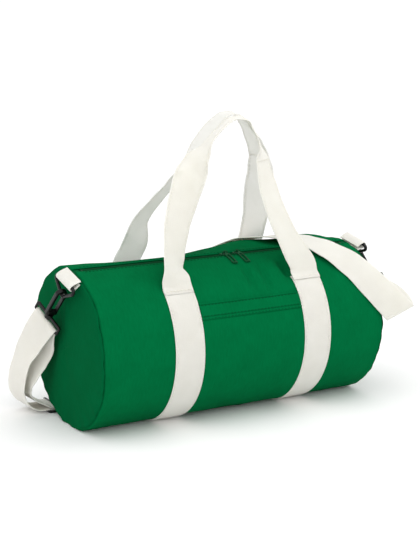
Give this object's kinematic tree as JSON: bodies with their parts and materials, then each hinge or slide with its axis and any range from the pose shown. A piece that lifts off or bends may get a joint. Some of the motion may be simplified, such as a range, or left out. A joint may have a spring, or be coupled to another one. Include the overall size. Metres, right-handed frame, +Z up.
{
  "type": "barrel bag",
  "caption": "Cylindrical canvas barrel bag with webbing carry handles, a double-ended zip, a patch pocket and a shoulder strap clipped to rings at its ends by swivel snap hooks.",
  "frame": {"origin": "middle of the flat foot that the barrel stands on, at floor height", "axes": "+X along the barrel to the viewer's right, -Y the pocket side, +Z up"},
  "size_m": [0.6248, 0.2922, 0.4653],
  "materials": {
    "canvas": "woven cotton canvas",
    "binding_tape": "folded seam tape",
    "webbing": "heavy cotton webbing",
    "zip_tape": "woven zip tape",
    "zip_teeth": "moulded teeth",
    "zip_metal": "lacquered die casting",
    "black_plastic": "moulded acetal"
  },
  "bodies": {
    "bag": {"barrel_panel": "canvas", "left_end_panel": "canvas", "right_end_panel": "canvas", "front_pocket": "canvas", "left_seam_binding": "binding_tape", "right_seam_binding": "binding_tape", "left_web_band": "webbing", "right_web_band": "webbing", "left_ring_tab": "webbing", "right_ring_tab": "webbing", "shoulder_strap": "webbing", "strap_tail": "webbing", "front_zip_tape": "zip_tape", "rear_zip_tape": "zip_tape", "front_zip_teeth": "zip_teeth", "rear_zip_teeth": "zip_teeth", "zip_end_stops": "zip_metal", "left_strap_loop": "black_plastic", "right_strap_loop": "black_plastic"},
    "front_handle": {"front_handle": "webbing"},
    "rear_handle": {"rear_handle": "webbing"},
    "left_slider": {"left_zip_slider": "zip_metal"},
    "right_slider": {"right_zip_slider": "zip_metal"},
    "left_pull": {"left_zip_pull": "zip_metal"},
    "right_pull": {"right_zip_pull": "zip_metal"},
    "left_ring": {"left_ring": "black_plastic"},
    "right_ring": {"right_ring": "black_plastic"},
    "left_hook": {"left_hook": "black_plastic"},
    "right_hook": {"right_hook": "black_plastic"},
    "left_gate": {"left_hook_gate": "black_plastic"},
    "right_gate": {"right_hook_gate": "black_plastic"},
    "adjuster": {"strap_adjuster": "black_plastic"}
  },
  "joints": [
    {"name": "front_handle_swing", "type": "hinge", "parent": "bag", "child": "front_handle", "pos_m": [0.006, -0.08732, 0.21877], "axis": [1, 0, 0], "range_deg": [0, 112]},
    {"name": "rear_handle_swing", "type": "hinge", "parent": "bag", "child": "rear_handle", "pos_m": [0.006, 0.08732, 0.21877], "axis": [-1, 0, 0], "range_deg": [0, 130]},
    {"name": "left_zip_slide", "type": "slide", "parent": "bag", "child": "left_slider", "axis": [-1, 0, 0], "range_m": [0, 0.235], "deforming": ["front_zip_tape", "rear_zip_tape", "front_zip_teeth", "rear_zip_teeth"]},
    {"name": "right_zip_slide", "type": "slide", "parent": "bag", "child": "right_slider", "axis": [1, 0, 0], "range_m": [0, 0.188], "deforming": ["front_zip_tape", "rear_zip_tape", "front_zip_teeth", "rear_zip_teeth"]},
    {"name": "left_pull_lift", "type": "hinge", "parent": "left_slider", "child": "left_pull", "pos_m": [0.013, -0.02266, 0.25031], "axis": [-1, 0, 0], "range_deg": [0, 165]},
    {"name": "right_pull_lift", "type": "hinge", "parent": "right_slider", "child": "right_pull", "pos_m": [0.036, -0.02266, 0.25031], "axis": [-1, 0, 0], "range_deg": [0, 165]},
    {"name": "left_ring_tilt", "type": "hinge", "parent": "bag", "child": "left_ring", "pos_m": [-0.2662, -0.02963, 0.23239], "axis": [0, 0.9659, 0.2588], "range_deg": [-3, 3]},
    {"name": "right_ring_tilt", "type": "hinge", "parent": "bag", "child": "right_ring", "pos_m": [0.2662, -0.02442, 0.24744], "axis": [0, 0.9816, 0.1908], "range_deg": [-3, 3]},
    {"name": "left_hook_swivel", "type": "hinge", "parent": "bag", "child": "left_hook", "pos_m": [-0.26927, -0.0199, 0.21238], "axis": [0.1261, -0.6405, 0.7575], "range_deg": [-10, 10]},
    {"name": "right_hook_swivel", "type": "hinge", "parent": "bag", "child": "right_hook", "pos_m": [0.26918, -0.02573, 0.22561], "axis": [-0.3283, 0.373, 0.8678], "range_deg": [-10, 10]},
    {"name": "left_gate_press", "type": "hinge", "parent": "left_hook", "child": "left_gate", "pos_m": [-0.26699, 0.00347, 0.18411], "axis": [-0.0588, -0.7671, -0.6388], "range_deg": [0, 20], "stiffness_Nm_per_rad": 0.03, "springref_deg": -28.65},
    {"name": "right_gate_press", "type": "hinge", "parent": "right_hook", "child": "right_gate", "pos_m": [0.27453, -0.03958, 0.19199], "axis": [0.0758, 0.9262, -0.3694], "range_deg": [0, 20], "stiffness_Nm_per_rad": 0.03, "springref_deg": -28.65},
    {"name": "adjuster_slide", "type": "slide", "parent": "bag", "child": "adjuster", "axis": [1, 0, 0], "range_m": [0, 0.08]}
  ]
}
